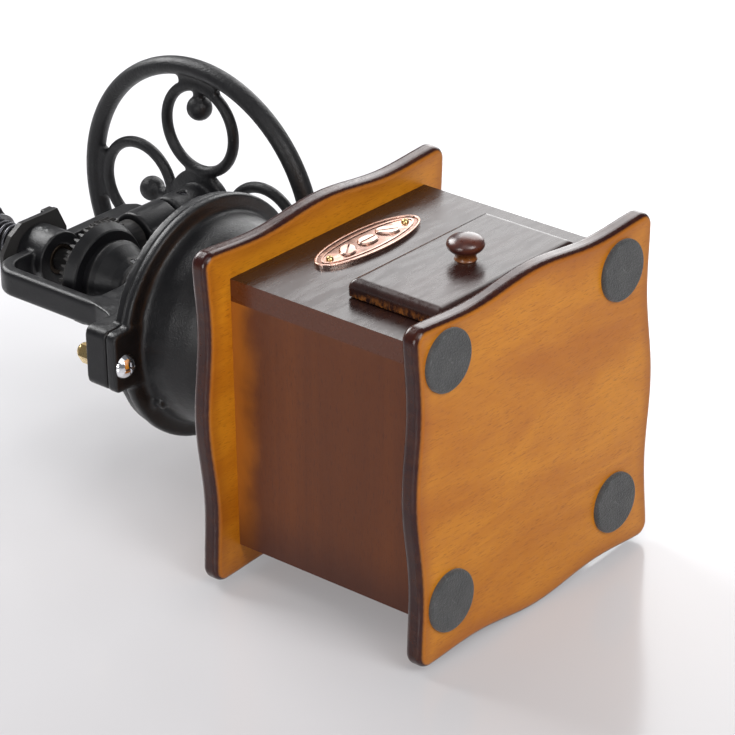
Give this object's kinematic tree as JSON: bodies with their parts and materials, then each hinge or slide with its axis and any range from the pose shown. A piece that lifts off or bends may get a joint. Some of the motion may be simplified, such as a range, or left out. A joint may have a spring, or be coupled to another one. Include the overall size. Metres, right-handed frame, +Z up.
{
  "type": "hand crank coffee grinder",
  "caption": "Box coffee grinder with wavy wooden plates, a front drawer, a black cast bowl and bridge, and a spoked hand wheel geared to the burr shaft.",
  "frame": {"origin": "under the middle of the box, in the plane the foot pads rest on; the burr shaft's axis is 1.5 mm in front of it", "axes": "+Z up, parallel to the burr shaft, -Y out of the drawer front, +X along the hand wheel's axle towards the wheel"},
  "size_m": [0.1976, 0.1581, 0.34],
  "materials": {
    "wood_plate": "satin amber stain, clear lacquer",
    "wood_box": "dark reddish-brown stain, clear lacquer",
    "wood_front": "very dark brown stain, satin lacquer",
    "wood_bare": "unfinished pale softwood",
    "wood_knob": "glossy dark red-brown lacquer",
    "foam": "dark grey closed-cell foam",
    "copper": "stamped copper, light brushing",
    "brass": "turned brass",
    "black_cast": "satin black stove enamel on cast iron",
    "black_bowl": "smooth satin black enamel on cast iron",
    "black_gear": "satin black with worn tooth tips",
    "steel": "turned steel",
    "spring_steel": "oil-blackened spring wire",
    "burr_iron": "ground cast iron",
    "chrome": "bright plated",
    "bronze": "sintered bronze"
  },
  "bodies": {
    "base": {"foot_pads": "foam", "bottom_plate": "wood_plate", "top_plate": "wood_plate", "side_panel_left": "wood_box", "side_panel_right": "wood_box", "front_panel": "wood_front", "back_panel": "wood_box", "drawer_guides": "wood_bare", "label_plate": "copper", "label_pins": "brass", "hopper_bowl": "black_bowl", "bowl_screws": "brass", "outer_burr": "burr_iron", "bridge": "black_cast", "clamp_screws": "chrome", "acorn_nuts": "brass", "lower_bush": "bronze", "upper_bush": "bronze", "axle_bush": "bronze", "lock_plate": "black_cast"},
    "drawer": {"drawer_front": "wood_front", "drawer_side_left": "wood_bare", "drawer_side_right": "wood_bare", "drawer_back": "wood_bare", "drawer_bottom": "wood_bare", "drawer_knob": "wood_knob", "drawer_knob_screw": "steel"},
    "hand_wheel": {"hand_wheel": "black_cast", "wheel_shaft": "steel", "pinion": "black_gear", "pinion_pin": "steel", "wheel_set_screw": "spring_steel", "knob_stud": "steel"},
    "crank_knob": {"crank_knob": "wood_knob"},
    "burr_shaft": {"burr_shaft": "steel", "crown_gear": "black_gear", "gear_set_screw": "steel", "inner_burr": "burr_iron", "burr_washer": "steel", "burr_nut": "steel", "spring_seat": "steel", "spring": "spring_steel"},
    "spring_cap": {"spring_cap": "steel"},
    "adjusting_nut": {"adjusting_nut": "black_gear"}
  },
  "joints": [
    {"name": "wheel_spin", "type": "hinge", "parent": "base", "child": "hand_wheel", "pos_m": [0.082, -0.0015, 0.2669], "axis": [1, 0, 0], "continuous": true},
    {"name": "knob_spin", "type": "hinge", "parent": "hand_wheel", "child": "crank_knob", "pos_m": [0.1, 0.06098, 0.26843], "axis": [1, 0, 0], "continuous": true},
    {"name": "burr_spin", "type": "hinge", "parent": "base", "child": "burr_shaft", "pos_m": [0, -0.0015, 0.24], "axis": [0, 0, 1], "continuous": true},
    {"name": "drawer_slide", "type": "slide", "parent": "base", "child": "drawer", "axis": [0, -1, 0], "range_m": [0, 0.085]},
    {"name": "adjust_travel", "type": "slide", "parent": "burr_shaft", "child": "spring_cap", "axis": [0, 0, -1], "range_m": [0, 0.0026], "deforming": ["spring"]},
    {"name": "adjust_turn", "type": "hinge", "parent": "spring_cap", "child": "adjusting_nut", "pos_m": [0, -0.0015, 0.324], "axis": [0, 0, -1], "range_deg": [0, 720]}
  ],
  "couplings": [
    {"joint": "burr_spin", "follows": "wheel_spin", "ratio": 0.58696},
    {"joint": "adjust_travel", "follows": "adjust_turn", "m_per_rad": 0.00019894}
  ]
}
